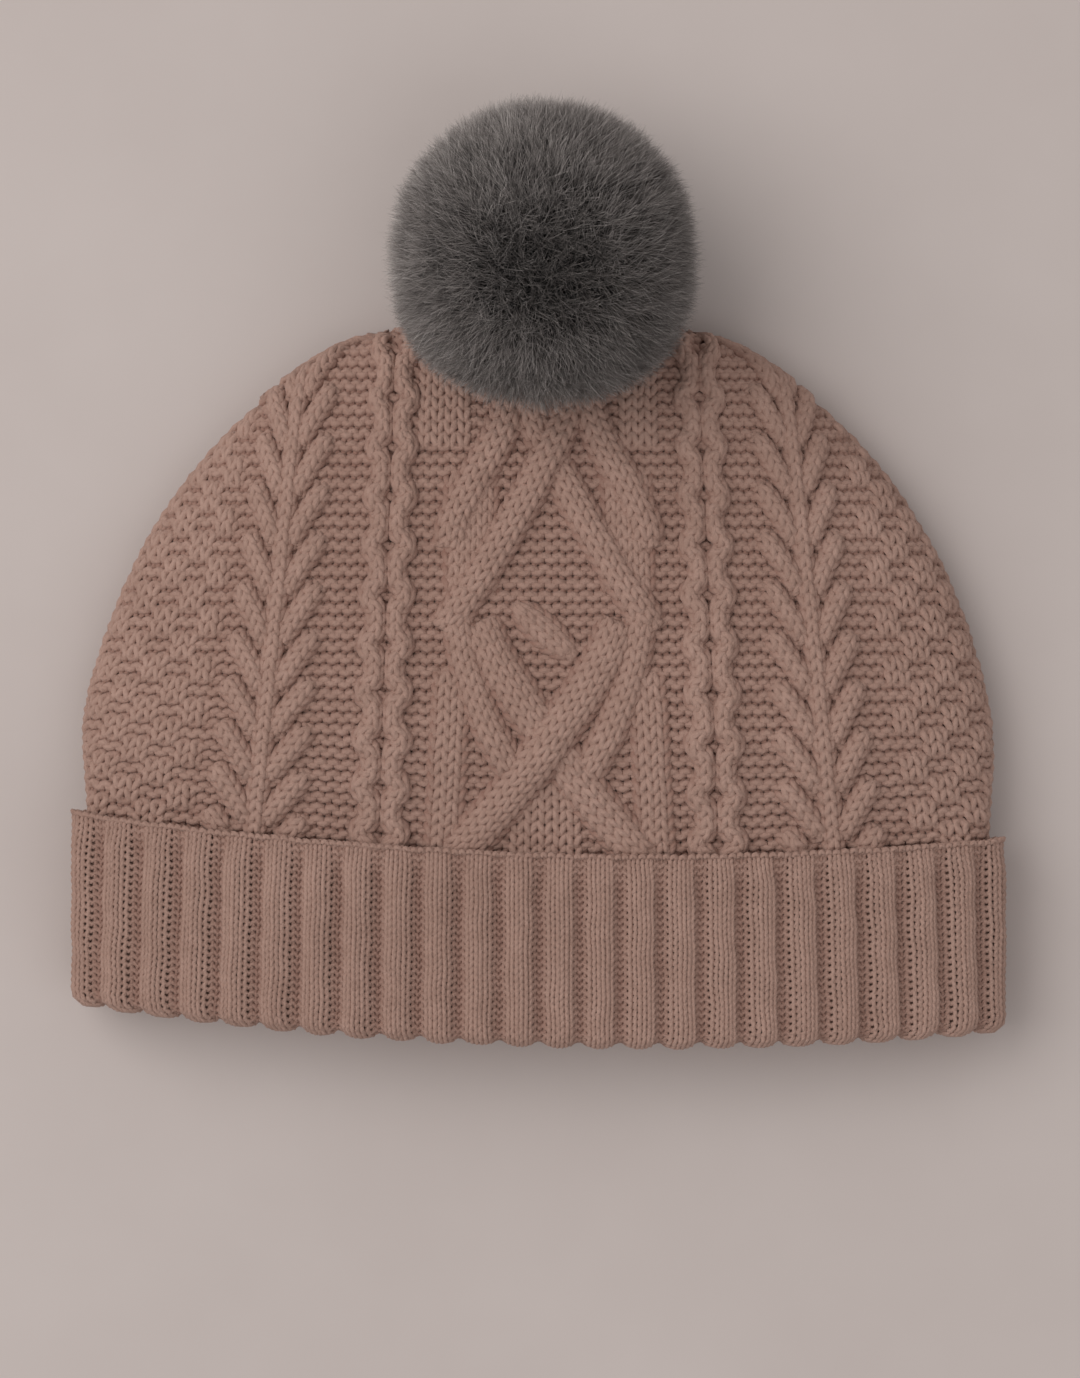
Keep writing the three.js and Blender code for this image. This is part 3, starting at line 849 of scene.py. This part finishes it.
def cuff_ground(name, profile_mid, thickness):
    """A closed ring-shaped sheet behind the rib stitches."""
    around = 120
    angle = np.arange(around) / around * 2 * math.pi
    slope = unit(np.gradient(profile_mid, axis=0))
    out = np.stack([slope[:, 1], -slope[:, 0]], -1)
    faces_of = [profile_mid + out * thickness / 2, (profile_mid - out * thickness / 2)[::-1]]
    loop = np.concatenate(faces_of)
    rings = np.stack([cuff_point(np.full(len(loop), a), loop[:, 0], loop[:, 1]) for a in angle])
    n = len(loop)
    i = np.arange(around)[:, None]
    j = np.arange(n)[None, :]
    nxt, k = (i + 1) % around, (j + 1) % n
    faces = np.stack([i * n + j, nxt * n + j, nxt * n + k, i * n + k], -1).reshape(-1, 4)
    return new_mesh(name, rings.reshape(-1, 3), faces)


def rib_ring(name, node, body, profile, ground_depth, samples, sides):
    slope = unit(np.gradient(profile, axis=0))
    out = np.stack([slope[:, 1], -slope[:, 0]], -1)
    ground_profile = (profile - out * ground_depth)[::3]
    ground = dress(cuff_ground(f"{name}_ground", ground_profile, 0.7), body, backing)
    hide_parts(node)
    front, back = rib_yarns(profile, samples, sides, CUFF_YARN_R)
    yarn = yarn_pieces(f"{name}_front_yarn", front, body, rib_wool)
    yarn += yarn_pieces(f"{name}_back_yarn", back, body, rib_wool)
    return ground, yarn


def cast_off():
    """The chain of stitches along the turn-up's free edge."""
    yarns = Yarns(0.6, 6)
    links = RIBS * RIB_WALES
    per_link = 6
    for half in (0, 1):
        for strand in (-1, 1):
            t = np.linspace(0, links // 2, links // 2 * per_link + 1)
            wale = t + half * links // 2
            share = rib_place(wale) / RIBS
            swing = np.sin(math.pi * t)
            inset = 1.75 + strand * (0.35 + 0.75 * np.abs(swing)) - 0.1 * strand
            uneven = 0.2 * wobble(share * ROUND_LENGTH, 0 * t, 41)
            height = CUFF_HEIGHT + 0.9 + 0.35 * np.cos(2 * math.pi * t) * strand + uneven
            shift = share + (0.5 * np.cos(math.pi * t) ** 2 * strand * 0.6) / ROUND_LENGTH
            angle = np.interp(np.clip(shift, 0, 1), ROUND_SHARE, ANGLES)
            points = cuff_point(angle, inset, height)
            normals = unit(cuff_point(angle, inset - 1, height + 1) - points)
            # a little painted crevice shade all along the chain
            yarns.add(points, normals, 0.08)
    made = yarn_pieces("cast_off_chain", yarns, "cuff", rib_wool)
    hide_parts("cuff_cast_off")
    return made


turn_up, turn_up_yarn = rib_ring("cuff_turn_up", "cuff_turn_up", "cuff", turn_up_profile(), 1.15, 8, 5)
turn_up_yarn = turn_up_yarn + cast_off()
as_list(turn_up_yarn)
band, band_yarn = rib_ring("cuff_inner_band", "cuff_inner_band", "hat", inner_band_profile(), 1.35, 6, 4)
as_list(band_yarn)


# ---- seams on the inside ----


def whipped_seam(name, node, path, normals, pitch, radius):
    """Yarn whipped round a line."""
    steps = np.linalg.norm(np.diff(path, axis=0), axis=1)
    arc = np.concatenate([[0], np.cumsum(steps)])
    t = np.linspace(0, arc[-1], int(arc[-1] / pitch) * 8)
    line = np.stack([np.interp(t, arc, path[:, i]) for i in range(3)], -1)
    up = unit(np.stack([np.interp(t, arc, normals[:, i]) for i in range(3)], -1))
    tangent = unit(np.gradient(line, axis=0))
    beside = unit(np.cross(tangent, up))
    turn = 2 * math.pi * t / pitch
    coil = line + radius * 0.6 * (np.cos(turn)[:, None] * beside + np.sin(turn)[:, None] * up)
    yarns = Yarns(0.42, 5)
    yarns.add(coil, up)
    # the core line under the wraps is coloured a little darker as painted shade
    yarns.add(line, up, 0.2, 0.55)
    made = yarn_pieces(name, yarns, "hat", seam_wool)
    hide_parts(node)
    return made


SEAM_INSET = 6.8
seam_turn = np.linspace(-math.pi / 2, math.pi / 2, 160)
seam_rise = np.cos(seam_turn)
seam_height = CROWN_STRAIGHT_TO + (CROWN_ARC_HEIGHT - SEAM_INSET) * seam_rise
seam_path = crown_point(np.where(seam_turn < 0, -1, 1) * math.pi / 2, seam_height, SEAM_INSET, 1)
seam_up = np.tile([0.0, 0.0, 1.0], (len(seam_path), 1))
whipped_seam("crown_seam_yarn", "crown_seam", seam_path, seam_up, 2.6, 1.2)

ring_angle = np.linspace(0, 2 * math.pi, 400)
ring_path = cuff_point(ring_angle, np.full(400, 9.9), np.full(400, 50.5))
ring_out = unit(cuff_point(ring_angle, np.full(400, 8.9), np.full(400, 50.5)) - ring_path)
whipped_seam("cuff_join_yarn", "cuff_join_seam", ring_path, ring_out, 2.2, 0.8)


# ---- labels, felt, press stud ----


def label(name, node):
    low, high = (np.array(v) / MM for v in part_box(node))
    low[1] -= SHIFT_Y
    high[1] -= SHIFT_Y
    across = np.linspace(low[0] + 0.2, high[0] - 0.2, 13)
    up = np.linspace(low[1] + 0.2, high[1] - 0.2, 19)
    x, y = np.meshgrid(across, up)
    curl = 0.16 * np.sin((x - low[0]) / 3.1) * np.sin((y - low[1]) / 5.3)
    middle = (low[2] + high[2]) / 2 + curl
    outer = np.stack([x, y, middle + 0.12], -1)
    inner = np.stack([x, y, middle - 0.12], -1)
    obj = dress(thin_panel(name, outer, inner), "hat", satin_ribbon)
    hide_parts(node)


label("care_label_ribbon", "care_label")
label("size_label_ribbon", "size_label")


def label_stitches():
    low, high = (np.array(v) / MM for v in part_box("label_stitching"))
    yarns = Yarns(0.24, 5)
    count = 12
    for n in range(count):
        x0 = mix(low[0], high[0], n / count)
        t = np.linspace(0, 1, 7)
        x = x0 + 1.9 * t
        y = np.full(7, (low[1] + high[1]) / 2 - SHIFT_Y)
        z = low[2] + 0.1 + 0.42 * np.sin(math.pi * t)
        yarns.add(np.stack([x, y, z], -1), np.tile([0.0, 0.0, 1.0], (7, 1)))
    made = yarn_pieces("label_stitches", yarns, "hat", thread)
    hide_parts("label_stitching")


label_stitches()


STUD_FOOT = np.array([0.5, 183.0, 19.615])
STUD_AXIS = np.array([0.0, 0.44179, 0.89712])
NECK = STUD_FOOT + 5.4 * STUD_AXIS
POM_CENTRE = np.array([1.3, 201.4, 37.9])
POM_AXIS = unit(POM_CENTRE - NECK)
POM_FOOT = NECK + 4 * POM_AXIS
POM_DROP = float(np.linalg.norm(POM_CENTRE - POM_FOOT))


def spun(name, profile, foot, axis, segments=64, ruffle=0.0):
    """A disc or ring turned from a closed profile of radius and height, with a slightly uneven edge."""
    across = unit(np.cross(axis, [1.0, 0.0, 0.0]))
    beside = np.cross(axis, across)
    angle = np.arange(segments) / segments * 2 * math.pi
    profile = np.array(profile, float)
    rough = 1 + ruffle * wobble(12 * np.cos(angle), 12 * np.sin(angle), 51, 0.5)
    rings = []
    for a, r in zip(angle, rough):
        arm = math.cos(a) * across + math.sin(a) * beside
        rings.append(foot + profile[:, :1] * r * arm + profile[:, 1:] * axis)
    n = len(profile)
    i = np.arange(segments)[:, None]
    j = np.arange(n)[None, :]
    nxt, k = (i + 1) % segments, (j + 1) % n
    faces = np.stack([i * n + j, i * n + k, nxt * n + k, nxt * n + j], -1).reshape(-1, 4)
    return new_mesh(name, np.concatenate(rings), faces)


def soft_ring(hole, rim, bottom, top):
    """A profile with rounded corners for cut felt."""
    lip = (top - bottom) / 3
    return [
        (hole, bottom + lip),
        (hole + lip, bottom),
        (rim - lip, bottom),
        (rim, bottom + lip),
        (rim, top - lip),
        (rim - lip, top),
        (hole + lip, top),
        (hole, top - lip),
    ]


felt_ring = soft_ring(1.5, 6.15, -6.6, -5.4)
felt_disc = dress(spun("felt_disc", felt_ring, STUD_FOOT, STUD_AXIS, ruffle=0.02), "hat", felt)
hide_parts("reinforcing_felt")
pom_ring = soft_ring(0.05, 7.9, 0.7 - POM_DROP, 1.7 - POM_DROP)
pom_disc = dress(spun("pom_disc", pom_ring, POM_CENTRE, POM_AXIS, ruffle=0.015), "pom", felt)
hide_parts("pom_backing_disc")


def wound_shank():
    yarns = Yarns(0.3, 6)
    t = np.linspace(0, 1, 90)
    across = unit(np.cross(POM_AXIS, [1.0, 0.0, 0.0]))
    beside = np.cross(POM_AXIS, across)
    turn = 2 * math.pi * 5 * t
    ring = np.cos(turn)[:, None] * across + np.sin(turn)[:, None] * beside
    yarns.add(NECK + (0.95 + 2.1 * t)[:, None] * POM_AXIS + 0.85 * ring, ring)
    core = np.linspace(0.75, 3.25, 8)[:, None] * POM_AXIS + NECK
    # the core inside the winding is coloured a little darker as painted shade
    yarns.add(core, np.tile(across, (8, 1)), 0.1, 0.8)
    made = yarn_pieces("shank_thread", yarns, "shank", thread)
    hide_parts("thread_shank")


def draw_thread():
    yarns = Yarns(0.2, 5)
    across = unit(np.cross(POM_AXIS, [1.0, 0.0, 0.0]))
    beside = np.cross(POM_AXIS, across)
    base = POM_CENTRE + (1.7 + 0.65 - POM_DROP) * POM_AXIS
    for phase in (0, math.pi):
        a = np.linspace(0, 2 * math.pi, 181)
        ring = np.cos(a)[:, None] * across + np.sin(a)[:, None] * beside
        twist = 40 * a + phase
        outward = (7 + 0.15 * np.cos(twist))[:, None] * ring
        yarns.add(base + outward + (0.15 * np.sin(twist))[:, None] * POM_AXIS, ring)
    made = yarn_pieces("draw_thread", yarns, "pom", thread)
    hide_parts("pom_draw_thread")


wound_shank()
draw_thread()
for node in ("snap_cap", "snap_stud", "snap_socket"):
    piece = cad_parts[node]
    piece.data.materials.clear()
    piece.data.materials.append(snap_metal)


# ---- the pom pom ----

FUR_R = 39.3
UNDERFUR_R = 27.0
CUT_AT = 15.0  # the cover is flat here, over the backing disc
STRANDS = 80000
TABLE_CLEAR = 0.5


def ball(subdivisions):
    bpy.ops.mesh.primitive_ico_sphere_add(subdivisions=subdivisions, radius=1)
    obj = bpy.context.object
    vertices = np.array([v.co for v in obj.data.vertices])
    faces = np.array([p.vertices for p in obj.data.polygons])
    bpy.data.objects.remove(obj)
    return unit(vertices), faces


def crown_top(x, y):
    """Height of the crown's upper face over the table, or far below it beyond the crown's edge."""
    rise = np.clip((y - CROWN_STRAIGHT_TO) / CROWN_ARC_HEIGHT, 0, 1)
    edge = np.sqrt((x / CROWN_HALF_WIDTH) ** 2 + rise**2)
    top = CROWN_MID + CROWN_RISE * arch(np.minimum(edge, 1), 3, 2.2)
    return np.where(edge < 1.01, top, -50)


def clear(points, margin):
    """Lifts points off the crown and the table."""
    floor = np.maximum(crown_top(points[..., 0], points[..., 1]) + margin, TABLE_CLEAR)
    out = points.copy()
    out[..., 2] = np.maximum(points[..., 2], floor)
    return out


def base_angle(direction):
    return np.degrees(np.arccos(np.clip(-(direction @ POM_AXIS), -1, 1)))


def body_radius(direction, full):
    """The cover's radius in a direction, drawn in to a flat base round the backing disc."""
    tilt = base_angle(direction)
    flat = CUT_AT / np.maximum(np.cos(np.radians(np.minimum(tilt, 60))), 0.3)
    return mix(flat, np.full_like(tilt, full), smoothstep(tilt, 29, 46))


def underfur():
    directions, faces = ball(5)
    lumps = 0.8 * wobble(directions[:, 0] * 60, directions[:, 1] * 60 + directions[:, 2] * 37, 61)
    radius = body_radius(directions, UNDERFUR_R) + lumps * smoothstep(base_angle(directions), 40, 60)
    vertices = clear(POM_CENTRE + directions * radius[:, None], 0.9)
    obj = new_mesh("pom_underfur", vertices, faces)
    # painted shade: the underfur takes the near-black colour of the pile's roots
    for attribute, value in (("tip", 0.12), ("tone", 0.4)):
        obj.data.attributes.new(attribute, "FLOAT", "POINT").data.foreach_set(
            "value", np.full(len(vertices), value, np.float32)
        )
    dress(obj, "pom", pile)
    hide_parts("pom_fur_cover")
    return obj


def filling():
    directions, faces = ball(4)
    lumps = 1 + 0.03 * wobble(directions[:, 0] * 40, directions[:, 1] * 40 + directions[:, 2] * 29, 62)
    obj = new_mesh("pom_stuffing", POM_CENTRE + directions * (13.2 * lumps)[:, None], faces)
    dress(obj, "pom", fibre)
    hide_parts("pom_filling")


# where the pile fans out from, and its darkest spot: strands there are shorter and their colour is painted
# darker, as shade down into the pile
FUR_PARTING = unit(np.array([0.06, -0.2, 1.0]))


def fur(name, count, reach, spread, width, segments):
    """Strands of pile: narrow tapered blades that leave the underfur and lean and curl a little."""
    k = np.arange(count) + 0.5
    polar = np.arccos(1 - 2 * k / count)
    turn = math.pi * (1 + 5**0.5) * k
    direction = np.stack([np.cos(turn) * np.sin(polar), np.sin(turn) * np.sin(polar), np.cos(polar)], -1)
    direction = unit(direction + rng.normal(0, 0.012, direction.shape))
    direction = direction[base_angle(direction) > 28]
    n = len(direction)
    across, along = direction[:, 0] * 50, direction[:, 1] * 50 + direction[:, 2] * 31
    tuft = np.stack([wobble(across, along, 70 + i) for i in range(3)], -1)
    lean = 0.10 * tuft + rng.normal(0, 0.07, (n, 3))
    lean[:, 2] -= 0.10 * np.sqrt(np.clip(1 - direction[:, 2], 0, 1))
    lean[:, 1] += 0.04 * np.clip(direction[:, 2], 0, 1)
    away = direction + POM_AXIS * 0.6 * (1 - smoothstep(base_angle(direction), 30, 70))[:, None]
    away = unit(away)
    tip_r = reach + rng.normal(0, spread, n) + 0.7 * tuft[:, 0] + 1.8 * np.clip(-direction[:, 1], 0, 1)
    parting = np.exp(-(((1 - direction @ FUR_PARTING) / 0.07) ** 2))
    tip_r = tip_r - 2.0 * parting
    root_r = body_radius(direction, UNDERFUR_R) - 1.5
    t = np.linspace(0, 1, segments + 1)
    radial = root_r[:, None] + (tip_r - root_r)[:, None] * t
    heading = unit(direction[:, None] * (1 - t[None, :, None]) + away[:, None] * t[None, :, None])
    heading = unit(heading + lean[:, None] * (t[None, :, None] ** 1.6))
    curl_axis = unit(rng.normal(0, 1, (n, 3)))
    curl = 0.5 * np.sin(t * 5 + rng.uniform(0, 6, n)[:, None]) * t
    points = POM_CENTRE + heading * radial[..., None] + curl_axis[:, None] * curl[..., None]
    points = clear(points, 0.6 + 1.6 * rng.random((n, 1)))
    tangent = unit(np.gradient(points, axis=1))
    beside = unit(np.cross(tangent, unit(rng.normal(0, 1, (n, 3)))[:, None]))
    half = width * (1 - 0.82 * t**1.5) / 2
    left = points - beside * half[None, :, None]
    right = points + beside * half[None, :, None]
    vertices = np.stack([left, right], 2)  # strand, ring, side
    # painted shadow: strands on the right and towards the bottom are coloured darker, and those round the
    # parting darker still as painted shade
    shadow = 0.34 * np.clip(direction[:, 0], 0, 1) + 0.2 * np.clip(-direction[:, 1], 0, 1)
    tone = np.clip(rng.normal(0.5, 0.27, n) + 0.16 * tuft[:, 1] - 0.55 * parting - shadow, 0, 1)
    per = segments + 1
    lots = max(1, math.ceil(n * segments * 2 / MOST_TRIANGLES))
    order = rng.permutation(n)
    made = []
    for lot, chosen in enumerate(np.array_split(order, lots)):
        m = len(chosen)
        base = np.arange(m)[:, None] * per * 2 + np.arange(segments)[None, :] * 2
        faces = np.stack([base, base + 1, base + 3, base + 2], -1).reshape(-1, 4)
        obj = new_mesh(f"{name}_{lot + 1}", vertices[chosen].reshape(-1, 3), faces, fur_maps(m, segments))
        for attribute, value in (("tip", t[None, :, None]), ("tone", tone[chosen][:, None, None])):
            everywhere = np.broadcast_to(value, (m, per, 2)).astype(np.float32).ravel()
            obj.data.attributes.new(attribute, "FLOAT", "POINT").data.foreach_set("value", everywhere)
        made.append(dress(obj, "pom", pile))
    return made


def fur_maps(strands, segments):
    """Every strand has its own cell of the baked map."""
    side = math.ceil(math.sqrt(strands))
    cell = np.arange(strands)
    x, y = cell % side, cell // side
    t = np.arange(segments) / segments
    step = 1 / segments
    left, right = (x + 0.1) / side, (x + 0.9) / side
    low = (y[:, None] + 0.05 + 0.9 * t[None, :]) / side
    high = (y[:, None] + 0.05 + 0.9 * (t + step)[None, :]) / side
    left = np.broadcast_to(left[:, None], low.shape)
    right = np.broadcast_to(right[:, None], low.shape)
    corners = np.stack([left, low, right, low, right, high, left, high], -1)
    return {"OFBake": corners.reshape(-1, 2)}


filling()
underfur()
fur("pom_pile", STRANDS, FUR_R - 0.6, 0.75, 0.22, 4)
fur("pom_guard", 12000, FUR_R + 0.5, 0.8, 0.13, 5)


# ---- stage, light and camera ----


def add_floor():
    bpy.ops.mesh.primitive_plane_add(size=6, location=(0, 0, 0))
    floor = bpy.context.object
    floor.name = "floor"
    floor.data.materials.append(board())


def add_light(name, kind, place, aim, energy, size, colour):
    data = bpy.data.lights.new(name, kind)
    data.energy, data.size, data.color = energy, size, colour
    obj = bpy.data.objects.new(name, data)
    obj.location = place
    obj.rotation_euler = (Vector(aim) - Vector(place)).to_track_quat("-Z", "Y").to_euler()
    bpy.context.scene.collection.objects.link(obj)


def add_world():
    world = bpy.data.worlds.new("soft_room")
    world.use_nodes = True
    sky = world.node_tree.nodes["Background"]
    sky.inputs["Color"].default_value = rgb(1.0, 0.985, 0.97)
    sky.inputs["Strength"].default_value = SKY_STRENGTH
    bpy.context.scene.world = world


def add_camera():
    data = bpy.data.cameras.new("camera")
    data.lens, data.sensor_width = CAMERA_LENS, 36
    data.clip_end = 10
    camera = bpy.data.objects.new("camera", data)
    camera.location = (0.0005, -0.0275, CAMERA_HEIGHT)
    bpy.context.scene.collection.objects.link(camera)
    bpy.context.scene.camera = camera


add_floor()
add_light("window", "AREA", (-1.25, 0.5, 1.45), (0, 0, 0), WINDOW_POWER, 2.0, (1.0, 0.985, 0.965))
add_light("fill", "AREA", (0.8, -0.7, 1.5), (0, 0, 0), FILL_POWER, 1.6, (0.98, 0.985, 1.0))
add_world()
add_camera()
bpy.context.scene.view_settings.view_transform = "Standard"
